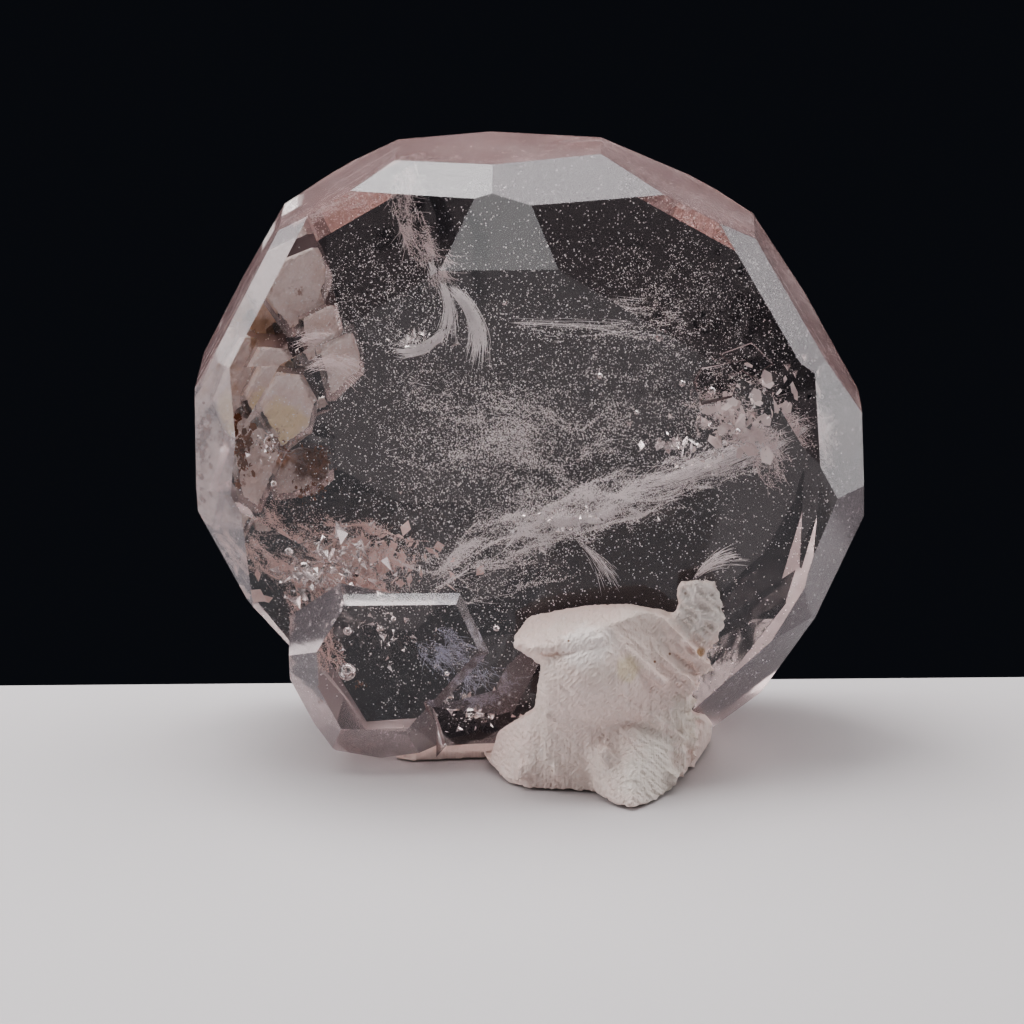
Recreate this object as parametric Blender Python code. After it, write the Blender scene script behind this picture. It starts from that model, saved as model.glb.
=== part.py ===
"""Morganite crystal on albite, at its real size.

A thick tabular beryl crystal stands on edge with its c axis along Y, so its big basal face looks towards -Y.
A smaller crystal grew onto its lower left in parallel position, and both are one solid. The crystal sits on a
lump of albite whose flat foot rests on the ground, and a crust of albite blades grows into its back.

Every crystal face is written the way a mineralogist writes it: the azimuth round the c axis in degrees,
counted from +X towards +Z, the tilt of its normal away from the c axis in degrees (0 is the basal face,
90 a prism face), and its distance from the crystal's own centre in millimetres.
"""

import itertools
import math
import random

import bmesh
import bpy
from mathutils import Matrix, Vector

MM = 0.001
GAP = 0.3

# Driving dimensions in millimetres
CENTRE_HEIGHT = 25.4
HALF_THICKNESS = 10.55
SMALL_CENTRE = (-13.2, 0.0, 9.4)
SMALL_FRONT = 11.6
SMALL_BACK = 6.2
SEAT_TOP = 4.6

COLOURS = {
    "morganite": ((0.93, 0.78, 0.76), 0.05),
    "albite": ((0.86, 0.79, 0.75), 0.55),
    "stained_albite": ((0.74, 0.58, 0.46), 0.6),
}

PRISM = (
    (90.7, 28.5), (120.2, 30.25), (150.9, 29.8), (179.4, 29.3), (205.5, 27.6), (217.0, 26.85),
    (270.0, 24.4), (-57.1, 29.15), (-27.5, 28.0), (1.2, 29.3), (30.4, 27.8), (60.7, 28.1),
)
# The low faces bevel the basal face, the pyramids surround them, and the steep strips edge the rim
FRONT_LOW = (
    (90.0, 18.7, 16.5), (148.4, 16.4, 17.05), (30.0, 29.5, 20.35), (-2.4, 10.3, 14.63), (-55.3, 8.3, 13.18),
)
FRONT_PYRAMID = (
    (120.7, 29.7, 19.7), (57.7, 29.0, 18.27), (173.6, 43.5, 25.5), (-4.0, 32.8, 22.27), (-33.5, 43.5, 24.55),
)
# This face of the big crystal ends where the smaller one covers it
SHORT_FACE = (240.0, 29.7, 16.0)
SHORT_FACE_END = -8.6
FRONT_STEEP = (
    (102.0, 54.4, 26.53), (77.4, 53.9, 25.4), (135.8, 47.8, 26.07), (41.7, 52.5, 25.15), (162.5, 58.1, 29.28),
    (13.0, 55.8, 26.62), (-15.5, 56.4, 26.87), (-47.9, 57.4, 25.9), (209.0, 47.0, 23.8),
)
BACK_PYRAMID = (
    (120.0, 29.7, 20.3), (60.0, 29.7, 19.7), (180.0, 30.0, 21.5), (0.0, 30.0, 21.6), (-60.0, 30.0, 20.4),
    (240.0, 30.0, 19.8),
)
BACK_STEEP = (
    (102.0, 54.4, 26.84), (77.4, 53.9, 25.54), (135.8, 47.8, 26.3), (41.7, 52.5, 25.93), (162.0, 57.0, 28.3),
    (14.0, 56.0, 26.4), (-16.0, 56.0, 26.5), (-46.0, 56.0, 26.6), (198.0, 56.0, 27.0), (222.0, 56.0, 26.4),
)
# The smaller crystal, from its own centre
SMALL_PRISM = (
    (180.0, 8.3), (206.0, 8.2), (217.6, 8.55), (254.9, 9.2), (283.0, 9.05), (318.0, 9.4), (8.0, 10.0),
    (60.0, 10.5), (120.0, 10.5),
)
SMALL_FACES = (
    (182.0, 47.0, 12.0), (206.6, 53.4, 11.4), (267.0, 45.0, 11.95), (318.5, 47.0, 11.6), (24.0, 60.0, 13.3),
    (90.0, 55.0, 11.85), (149.0, 61.0, 10.8),
)

# Thin growth plates on the right of the basal face: corners (x, z) from the crystal's centre, then the azimuth,
# tilt and distance of the outer side
STEP_PLATES = (
    (((10.3, 15.0), (11.2, 17.1), (12.4, 15.2)), (57.7, 16.0, 15.34)),
    (((14.3, 10.1), (15.0, 11.4), (18.8, 12.0), (17.6, 8.9), (15.0, 8.4)), (57.7, 16.0, 15.5)),
    (((16.6, 12.5), (19.4, 13.2), (21.2, 11.4), (19.3, 10.5)), (57.7, 27.0, 18.15)),
)
STEP_ROOT = 1.2
# Growth ledges cut along the prism faces: azimuth, prism distance, place along the face, length, depth in y
LEDGES = (
    (60.7, 28.1, 2.4, 6.0, -3.6), (60.7, 28.1, -3.0, 3.2, -1.0), (120.2, 30.25, 2.5, 9.0, -2.4),
    (120.2, 30.25, -1.5, 7.0, 0.8), (150.9, 29.8, 0.5, 12.0, -4.2), (150.9, 29.8, 2.0, 8.0, -1.2),
    (90.7, 28.5, -5.5, 4.6, 2.0), (30.4, 27.8, 1.0, 10.0, -2.6), (-27.5, 28.0, 0.0, 6.0, -1.5),
    (209.0, 28.7, -0.5, 6.0, -1.6), (1.2, 29.3, 0.2, 3.6, 0.6), (-57.1, 29.15, 0.0, 7.0, 0.4),
)
LEDGE_WIDTH = 0.5
LEDGE_DEPTH = 0.16
# Chips on edges and corners: centre from the crystal's centre, and size
CHIPS = (
    ((29.2, 3.2, 6.9), 1.1), ((-1.0, -9.1, 27.1), 0.75), ((0.1, -10.6, 25.2), 0.6), ((-21.9, -6.0, -15.7), 0.9),
    ((24.4, -3.6, 15.1), 0.5), ((-24.4, 6.6, -13.4), 1.2), ((9.0, 8.6, -23.4), 1.6), ((-14.6, 5.6, 26.6), 0.8),
    ((18.6, 5.8, -20.4), 1.0), ((-29.4, 4.6, 8.4), 0.7),
)
# The broken, shell-like hollows at the lower edge of the basal face: corners from the crystal's centre
SCOOPS = (
    (
        (-9.6, -12.6, -19.6), (-8.9, -12.6, -19.0), (-5.5, -12.6, -18.6), (-3.2, -12.6, -17.3), (0.4, -12.6, -17.2),
        (0.6, -12.6, -26.0), (-9.2, -12.6, -26.0), (-8.8, -10.3, -19.6), (-5.4, -10.3, -19.1), (-3.0, -10.3, -18.0),
        (-8.3, -8.9, -21.7), (-3.0, -7.9, -21.2), (0.6, -7.6, -20.6), (-7.5, -6.4, -25.9), (0.8, -6.0, -25.9),
    ),
    (
        (-3.5, -12.6, -17.4), (-2.5, -12.6, -15.4), (-0.9, -12.6, -13.9), (4.0, -12.6, -13.8), (4.0, -12.6, -24.0),
        (-3.4, -12.6, -24.0), (-3.1, -10.3, -17.6), (-2.2, -10.3, -15.8), (-0.7, -10.3, -14.4), (-1.5, -8.7, -18.4),
        (0.6, -8.0, -16.4), (4.0, -8.0, -15.6), (4.0, -6.4, -22.0), (-2.2, -7.5, -22.0),
    ),
    (
        (-9.8, -12.6, -18.2), (-8.6, -12.6, -17.6), (-7.6, -12.6, -20.0), (-8.6, -12.6, -22.4), (-9.4, -10.9, -19.0),
        (-8.2, -9.8, -20.6), (-8.4, -9.4, -22.0),
    ),
)

# Albite lump, corners in millimetres from the ground point under the crystal's centre
LUMP_TOP = (
    (-1.6, -10.0, 12.4), (0.0, -10.0, 14.7), (3.0, -10.0, 15.3), (7.8, -10.0, 15.5), (11.6, -10.0, 14.5),
    (12.7, -10.0, 14.5), (-1.6, -15.3, 13.3), (0.8, -16.2, 14.0), (5.2, -16.7, 14.9), (10.0, -14.4, 16.0),
    (12.9, -13.2, 14.6), (-1.4, -14.8, 12.6), (1.3, -16.0, 12.2), (13.6, -13.4, 11.0), (1.3, -10.0, 12.0),
    (13.6, -10.0, 11.0), (6.0, -16.4, 9.0), (6.0, -10.0, 9.0),
)
LUMP_FACE = (
    (1.2, -16.1, 12.8), (5.2, -16.6, 14.2), (12.6, -13.8, 13.4), (1.5, -16.6, 9.8), (0.2, -15.2, 7.3),
    (1.0, -15.9, 4.0), (1.0, -15.8, 0.0), (5.6, -16.6, 0.0), (13.4, -15.4, 4.0), (13.4, -14.6, 0.4),
    (14.0, -14.2, 9.6), (14.0, -10.0, 10.4), (14.0, -10.0, 0.0), (1.2, -10.0, 12.8), (0.4, -10.0, 7.3),
    (0.4, -10.0, 0.0),
)
LUMP_FLARE = (
    (0.4, -15.3, 7.3), (-1.0, -12.6, 4.6), (-2.6, -10.6, 2.7), (-5.4, -8.4, 1.5), (-4.6, -8.0, 0.6),
    (-2.9, -9.8, 0.6), (-2.3, -14.2, 0.0), (-0.3, -15.7, 0.0), (1.6, -15.9, 0.0), (1.6, -9.0, 0.0),
    (1.6, -9.0, 6.4), (1.6, -15.6, 6.6), (-2.9, -7.4, 2.2), (-1.8, -14.1, 1.6),
)
LUMP_BULGE = (
    (4.6, -16.2, 4.6), (5.8, -18.2, 0.2), (7.4, -20.2, 0.0), (8.7, -21.1, 0.2), (10.2, -19.6, 0.0),
    (11.7, -17.3, 0.0), (13.0, -13.7, 0.0), (12.4, -15.0, 5.0), (8.4, -16.7, 6.2), (9.0, -19.7, 2.4),
    (4.6, -14.0, 0.0), (12.0, -12.0, 5.0), (5.6, -13.0, 5.6),
)
LUMP_TOE = (
    (12.4, -14.2, 0.0), (14.3, -9.9, 0.0), (15.8, -4.2, 0.0), (15.9, -1.0, 1.0), (15.9, -8.8, 3.4),
    (14.6, -13.0, 6.0), (11.0, -4.0, 0.0), (11.0, -12.0, 6.4), (15.6, -5.0, 3.0), (11.0, -2.0, 2.0),
)
LUMP_TAB = (
    (12.8, -12.7, 17.8), (14.4, -13.0, 18.2), (16.2, -12.9, 18.0), (16.4, -12.9, 17.0), (17.1, -13.1, 15.0),
    (16.9, -13.1, 13.6), (15.0, -13.4, 11.5), (14.3, -13.6, 9.0), (12.4, -13.4, 9.0), (12.9, -12.6, 14.0),
    (12.8, -10.0, 17.4), (16.2, -10.0, 17.6), (17.0, -10.0, 14.4), (14.6, -10.0, 9.0), (12.4, -10.0, 9.0),
)
LUMP_LEDGE = (
    (-12.6, -7.5, 0.0), (-10.9, -8.4, 0.0), (-5.0, -7.8, 0.0), (-3.2, -7.0, 0.0), (1.0, -7.0, 0.0),
    (-11.6, -7.3, 0.8), (-5.6, -7.6, 1.7), (-3.0, -7.0, 2.3), (1.0, -7.0, 2.8), (-13.0, -2.0, 0.0),
    (-11.6, 3.4, 0.0), (-12.0, -2.0, 1.0), (-10.8, 3.2, 1.2), (1.0, 5.0, 0.0), (1.0, 4.6, 3.0),
)
LUMP_SEAT = (
    (-2.6, -10.8, 0.0), (-3.0, 7.6, 0.0), (14.3, -10.8, 0.0), (15.3, -2.0, 0.0), (14.2, 7.9, 0.0),
    (0.4, -10.8, SEAT_TOP), (0.4, 7.2, SEAT_TOP), (11.6, -10.8, SEAT_TOP), (11.6, 7.4, SEAT_TOP),
    (14.9, 3.0, 1.2), (-4.0, 5.0, 1.2), (14.9, -6.0, 1.6),
)
LUMP_HEEL = (
    (-6.0, 2.0, 0.0), (-7.8, 7.2, 0.0), (-4.6, 10.2, 0.0), (1.6, 11.9, 0.0), (8.4, 11.4, 0.0), (12.6, 8.6, 0.0),
    (12.0, 2.0, 0.0), (-6.8, 7.6, 2.0), (-2.2, 10.3, 5.0), (6.4, 10.9, 6.2), (11.4, 8.8, 3.8), (2.0, 10.7, 7.4),
    (0.0, 4.0, 3.0),
)
LUMP_PARTS = (LUMP_FACE, LUMP_TOP, LUMP_FLARE, LUMP_BULGE, LUMP_TOE, LUMP_TAB, LUMP_LEDGE, LUMP_SEAT, LUMP_HEEL)
# Slender plates whose ends give the lump its notched edges: centre, length, width, and turn in its face
EDGE_PLATES = (
    ((13.2, -13.2, 12.4), 6.6, 1.7, -48), ((12.3, -13.9, 10.2), 5.6, 1.6, -42), ((12.0, -14.0, 8.2), 5.2, 1.5, -36),
    ((12.0, -13.7, 6.2), 5.0, 1.6, -30), ((12.4, -12.8, 4.4), 4.9, 1.5, -26), ((12.2, -12.4, 2.6), 4.6, 1.4, -30),
    ((10.6, -15.9, 2.4), 5.2, 1.4, -40), ((7.4, -17.2, 2.4), 5.0, 1.2, -58), ((4.6, -15.6, 1.6), 5.6, 1.0, -8),
    ((0.4, -14.7, 1.9), 3.6, 1.2, 12), ((3.0, -15.6, 13.7), 7.0, 0.7, 9), ((8.8, -14.7, 12.4), 8.0, 0.7, -44),
    ((6.4, -15.4, 9.4), 8.0, 0.6, -40), ((9.2, -15.1, 7.4), 6.0, 0.6, -36), ((3.4, -15.6, 6.2), 5.0, 0.6, -30),
)
PLATE_THICKNESS = 1.1
# Blocks of the crust in the back: outline (x, z) from the crystal's centre, then its near and far end in y
BACK_BLOCKS = (
    (((-24.0, 5.6), (-22.4, 8.7), (-20.2, 8.4), (-19.0, 6.0), (-19.6, 3.7), (-22.0, 1.9)), 3.0, 10.9),
    (((-18.6, 10.6), (-15.8, 11.9), (-14.9, 8.8), (-17.6, 6.3), (-18.0, 8.2)), 4.5, 11.0),
    (((-20.4, 15.9), (-17.6, 17.0), (-16.2, 14.4), (-17.4, 10.6), (-19.6, 9.2), (-21.9, 12.6)), 5.6, 11.2),
    (((-23.9, 9.6), (-21.4, 13.4), (-19.6, 11.4), (-20.8, 9.3), (-23.4, 7.6)), 7.0, 11.0),
    (((-26.4, 6.6), (-25.0, 9.3), (-23.0, 9.0), (-23.7, 4.8), (-25.6, 3.0)), 4.4, 10.6),
    (((-26.6, 2.2), (-24.8, 3.9), (-21.6, 2.6), (-23.0, -1.0), (-24.4, -4.0), (-25.8, -3.0)), 4.8, 10.8),
    (((-23.4, -0.2), (-20.4, 0.9), (-18.2, 0.5), (-17.9, -1.5), (-19.6, -2.9), (-22.8, -3.4)), 7.4, 11.1),
)
# Small blades on the outside of the crust, in millimetres from the ground: centre, half sizes, turns about y and z
BACK_BLADES = (
    ((-21.6, 10.2, 31.2), (2.1, 1.7, 0.6), 58, 8), ((-20.2, 10.4, 29.6), (2.0, 1.5, 0.5), -24, -6),
    ((-18.6, 10.4, 38.6), (2.0, 1.6, 0.6), 66, 10), ((-17.4, 10.2, 35.6), (1.8, 1.6, 0.5), -36, -10),
    ((-24.4, 10.0, 31.6), (1.7, 1.5, 0.6), 34, 6), ((-24.2, 10.0, 25.8), (2.1, 1.6, 0.6), 78, -8),
    ((-20.8, 10.4, 24.2), (2.1, 1.5, 0.5), 12, 12), ((-22.6, 10.4, 27.2), (1.6, 1.4, 0.5), -52, 4),
    ((-21.2, 10.3, 35.6), (1.7, 1.5, 0.5), 48, -6),
)


def direction(azimuth, tilt, back=False):
    """Unit normal of a crystal face."""
    turn, lean = math.radians(azimuth), math.radians(tilt)
    along = math.cos(lean) if back else -math.cos(lean)
    return Vector((math.cos(turn) * math.sin(lean), along, math.sin(turn) * math.sin(lean)))


def finish_mesh(bm, name):
    """A bmesh as a new object in the scene, with its faces pointing out."""
    bmesh.ops.recalc_face_normals(bm, faces=bm.faces)
    mesh = bpy.data.meshes.new(name)
    bm.to_mesh(mesh)
    bm.free()
    made = bpy.data.objects.new(name, mesh)
    bpy.context.scene.collection.objects.link(made)
    return made


def cut_block(name, centre, planes, reach=45.0):
    """A block cut down by planes, each a unit normal and a distance from the centre in millimetres."""
    bm = bmesh.new()
    bmesh.ops.create_cube(bm, size=2 * reach)
    for normal, distance in planes:
        everything = bm.verts[:] + bm.edges[:] + bm.faces[:]
        bmesh.ops.bisect_plane(
            bm, geom=everything, dist=1e-5, plane_co=normal * distance, plane_no=normal, clear_outer=True
        )
        bmesh.ops.holes_fill(bm, edges=[edge for edge in bm.edges if edge.is_boundary], sides=0)
    bmesh.ops.dissolve_degenerate(bm, dist=1e-3, edges=bm.edges)
    bmesh.ops.transform(bm, verts=bm.verts, matrix=Matrix.Translation(centre))
    bmesh.ops.scale(bm, verts=bm.verts, vec=(MM, MM, MM))
    return finish_mesh(bm, name)


def hull(name, corners, offset=(0.0, 0.0, 0.0)):
    """The convex solid round a set of corners in millimetres."""
    bm = bmesh.new()
    for corner in corners:
        bm.verts.new((Vector(corner) + Vector(offset)) * MM)
    made = bmesh.ops.convex_hull(bm, input=bm.verts)
    spare = {item for item in made["geom_interior"] if isinstance(item, bmesh.types.BMVert)}
    bmesh.ops.delete(bm, geom=list(spare), context="VERTS")
    return finish_mesh(bm, name)


def plate(name, centre, half, turns):
    """A box of the given half sizes, turned about y and then z, with its corners knocked off at random."""
    bm = bmesh.new()
    bmesh.ops.create_cube(bm, size=2.0)
    bmesh.ops.scale(bm, verts=bm.verts, vec=half)
    spread = random.Random(repr(centre))
    for vert in bm.verts:
        vert.co += Vector([spread.uniform(-0.12, 0.12) * size for size in half])
    lean = Matrix.Rotation(math.radians(turns[1]), 4, "Z") @ Matrix.Rotation(math.radians(turns[0]), 4, "Y")
    bmesh.ops.transform(bm, verts=bm.verts, matrix=Matrix.Translation(centre) @ lean)
    bmesh.ops.scale(bm, verts=bm.verts, vec=(MM, MM, MM))
    bmesh.ops.triangulate(bm, faces=bm.faces)
    return finish_mesh(bm, name)


def join_or_cut(target, tools, operation):
    """Applies one Boolean for each tool, and removes the tools."""
    for tool in tools:
        step = target.modifiers.new(operation.lower(), "BOOLEAN")
        step.operation = operation
        step.solver = "EXACT"
        step.object = tool
        bpy.context.view_layer.update()
        graph = bpy.context.evaluated_depsgraph_get()
        made = bpy.data.meshes.new_from_object(target.evaluated_get(graph))
        target.modifiers.clear()
        target.data = made
        bpy.data.objects.remove(tool)
    return target


def principled(name):
    colour, roughness = COLOURS[name]
    material = bpy.data.materials.new(name)
    material.use_nodes = True
    shader = material.node_tree.nodes["Principled BSDF"]
    shader.inputs["Base Color"].default_value = (*colour, 1.0)
    shader.inputs["Roughness"].default_value = roughness
    shader.inputs["Metallic"].default_value = 0.0
    return material


def main_crystal(grow=0.0):
    """The big crystal, pushed out by grow where it only marks the space it needs."""
    planes = [(direction(0, 0), HALF_THICKNESS), (direction(0, 0, True), HALF_THICKNESS)]
    planes += [(direction(azimuth, 90), distance) for azimuth, distance in PRISM]
    planes += [(direction(azimuth, tilt), distance) for azimuth, tilt, distance in FRONT_LOW]
    planes += [(direction(azimuth, tilt), distance) for azimuth, tilt, distance in FRONT_PYRAMID + FRONT_STEEP]
    planes += [(direction(azimuth, tilt, True), distance) for azimuth, tilt, distance in BACK_PYRAMID + BACK_STEEP]
    grown = [(normal, distance + grow) for normal, distance in planes]
    return cut_block("main_crystal", (0.0, 0.0, CENTRE_HEIGHT), grown)


def small_crystal(grow=0.0):
    planes = [(direction(0, 0), SMALL_FRONT), (direction(0, 0, True), SMALL_BACK)]
    planes += [(direction(azimuth, 90), distance) for azimuth, distance in SMALL_PRISM]
    planes += [(direction(azimuth, tilt), distance) for azimuth, tilt, distance in SMALL_FACES]
    for azimuth, tilt, distance in SMALL_FACES:
        nearer = (SMALL_FRONT - SMALL_BACK) * math.cos(math.radians(tilt))
        planes.append((direction(azimuth, tilt, True), distance - nearer))
    grown = [(normal, distance + grow) for normal, distance in planes]
    return cut_block("small_crystal", SMALL_CENTRE, grown)


def seat_space(shrink=0.0):
    """The hollow in the crystal's lower edge that the albite fills."""
    left, right = -2.0 + shrink, 14.2 - shrink
    top = SEAT_TOP + GAP - shrink
    corners = [(x, y, -1.0) for x in (left, right) for y in (-14.0, 14.0)]
    corners += [(x, y, top) for x in (left + 2.6, right - 2.6) for y in (-14.0, 14.0)]
    return hull("seat_space", corners)


def scoop_spaces():
    return [hull("scoop_space", corners, (0.0, 0.0, CENTRE_HEIGHT)) for corners in SCOOPS]


def short_face_space(grow=0.0):
    """What the shorter lower-left face takes off the big crystal."""
    normal = direction(*SHORT_FACE[:2])
    beyond = [(direction(0.0, 90.0), SHORT_FACE_END), (-normal, -SHORT_FACE[2] - grow)]
    return cut_block("short_face_space", (0.0, 0.0, CENTRE_HEIGHT), beyond)


def step_plate(corners, side):
    """A thin plate whose outer side is a crystal face and whose root is inside the crystal."""
    normal, distance = direction(*side[:2]), side[2]
    front = [(x, (distance - normal.x * x - normal.z * z) / normal.y, z) for x, z in corners]
    root = [(x, y + STEP_ROOT, z) for x, y, z in front]
    return hull("step_plate", front + root, (0.0, 0.0, CENTRE_HEIGHT))


def ledge_cutter(azimuth, distance, place, length, depth):
    """A shallow three-sided groove along a prism face."""
    out = direction(azimuth, 90)
    along = out.cross(Vector((0.0, 1.0, 0.0)))
    middle = out * distance + along * place + Vector((0.0, depth, CENTRE_HEIGHT))
    corners = []
    for end in (-0.5, 0.5):
        base = middle + along * (end * length)
        corners += [base - out * LEDGE_DEPTH, base + out * 0.3 + Vector((0.0, LEDGE_WIDTH, 0.0))]
        corners += [base + out * 0.3 - Vector((0.0, 0.12, 0.0))]
    return hull("ledge_cutter", corners)


def chip_cutter(centre, size):
    spread = random.Random(repr(centre))
    corners = []
    for _ in range(9):
        way = Vector([spread.uniform(-1, 1) for _ in range(3)]).normalized()
        corners.append(Vector(centre) + way * size * spread.uniform(0.7, 1.1))
    return hull("chip_cutter", corners, (0.0, 0.0, CENTRE_HEIGHT))


def keep_largest(target):
    """Removes the crumbs and closed bubbles that a cut can leave."""
    bm = bmesh.new()
    bm.from_mesh(target.data)
    left = set(bm.verts)
    shells = []
    while left:
        shell, edge = set(), [left.pop()]
        while edge:
            vert = edge.pop()
            shell.add(vert)
            near = {link.other_vert(vert) for link in vert.link_edges} & left
            left -= near
            edge += near
        shells.append(shell)
    largest = max(shells, key=len)
    bmesh.ops.delete(bm, geom=[vert for vert in bm.verts if vert not in largest], context="VERTS")
    bm.to_mesh(target.data)
    bm.free()


def blades(grow=0.0):
    """The blocks and blades of the crust as separate solids that overlap."""
    made = []
    steps = [Vector(step) for step in itertools.product((-grow, grow), repeat=3)] if grow else [Vector()]
    for outline, near, far in BACK_BLOCKS:
        middle = sum((Vector((x, 0.0, z)) for x, z in outline), Vector()) / len(outline)
        corners = [Vector((x, near, z)) for x, z in outline]
        corners += [Vector((x, far, z)).lerp(middle + Vector((0.0, far, 0.0)), 0.1) for x, z in outline]
        spread = [tuple(corner + step) for corner in corners for step in steps]
        made.append(hull("block", spread, (0.0, 0.0, CENTRE_HEIGHT)))
    for centre, half, turn, lean in BACK_BLADES:
        wider = tuple(size + grow for size in half)
        made.append(plate("blade", centre, wider, (turn, lean)))
    return made


def build_crystal():
    crystal = join_or_cut(main_crystal(), [short_face_space()], "DIFFERENCE")
    join_or_cut(crystal, [small_crystal()], "UNION")
    join_or_cut(crystal, [step_plate(*plate_shape) for plate_shape in STEP_PLATES], "UNION")
    tools = [seat_space(), *scoop_spaces()]
    tools += [ledge_cutter(*ledge) for ledge in LEDGES]
    tools += [chip_cutter(centre, size) for centre, size in CHIPS]
    join_or_cut(crystal, tools, "DIFFERENCE")
    join_or_cut(crystal, blades(GAP), "DIFFERENCE")
    keep_largest(crystal)
    crystal.name = "morganite_crystal"
    crystal.data.materials.append(principled("morganite"))
    return crystal


def crystal_room():
    """What the albite has to stay clear of: the crystal grown by the gap."""
    room = join_or_cut(main_crystal(GAP), [short_face_space(-GAP)], "DIFFERENCE")
    join_or_cut(room, [small_crystal(GAP)], "UNION")
    return join_or_cut(room, [seat_space(GAP)], "DIFFERENCE")


def build_matrix():
    parts = [hull("lump_part", corners) for corners in LUMP_PARTS]
    parts += [
        plate("edge_plate", centre, (length / 2, PLATE_THICKNESS, width / 2), (-turn, 0))
        for centre, length, width, turn in EDGE_PLATES
    ]
    matrix = join_or_cut(parts[0], parts[1:], "UNION")
    ground = hull("ground", [(x, y, z) for x in (-40, 40) for y in (-40, 40) for z in (-9, 0)])
    join_or_cut(matrix, [crystal_room(), ground], "DIFFERENCE")
    keep_largest(matrix)
    matrix.name = "albite_matrix"
    matrix.data.materials.append(principled("albite"))
    return matrix


def build_back_crust():
    parts = blades()
    crust = join_or_cut(parts[0], parts[1:], "UNION")
    keep_largest(crust)
    crust.name = "albite_blades"
    crust.data.materials.append(principled("stained_albite"))
    return crust


def main():
    for old in list(bpy.data.objects):
        bpy.data.objects.remove(old)
    build_crystal()
    build_matrix()
    build_back_crust()


main()
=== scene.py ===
"""Looks of a morganite crystal that stands on edge on a lump of albite."""

import math
import random

import bmesh
import bpy
import numpy as np
from bpy.props import FloatProperty, FloatVectorProperty, IntProperty, PointerProperty
from bpy.types import Operator, Panel, PropertyGroup
from mathutils import Matrix, Vector, noise

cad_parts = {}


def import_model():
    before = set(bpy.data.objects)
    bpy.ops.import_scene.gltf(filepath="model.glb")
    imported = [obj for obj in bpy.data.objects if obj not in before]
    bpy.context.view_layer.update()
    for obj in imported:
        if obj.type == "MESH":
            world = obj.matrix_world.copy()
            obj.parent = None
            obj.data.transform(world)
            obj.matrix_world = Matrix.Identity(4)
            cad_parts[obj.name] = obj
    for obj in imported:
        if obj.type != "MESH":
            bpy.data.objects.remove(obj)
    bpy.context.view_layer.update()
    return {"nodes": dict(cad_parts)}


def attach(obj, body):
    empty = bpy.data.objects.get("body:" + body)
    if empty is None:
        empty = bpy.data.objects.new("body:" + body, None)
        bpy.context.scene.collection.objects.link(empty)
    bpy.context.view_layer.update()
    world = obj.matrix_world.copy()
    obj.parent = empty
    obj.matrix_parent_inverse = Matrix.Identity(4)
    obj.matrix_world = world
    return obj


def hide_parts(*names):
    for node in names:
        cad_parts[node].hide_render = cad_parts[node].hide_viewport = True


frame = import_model()

bl_info = {
    "name": "Morganite on albite",
    "version": (1, 0, 0),
    "blender": (4, 5, 0),
    "location": "3D View > Sidebar > Morganite",
    "description": "Dresses the crystal, its inclusions and its albite, and sets the stage",
    "category": "Object",
}

MM = 0.001
CENTRE = Vector((0.0, 0.0, 25.4))

# Every place below is (x, y, z) in millimetres from the crystal's centre: -Y is the side of the big face

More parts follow.
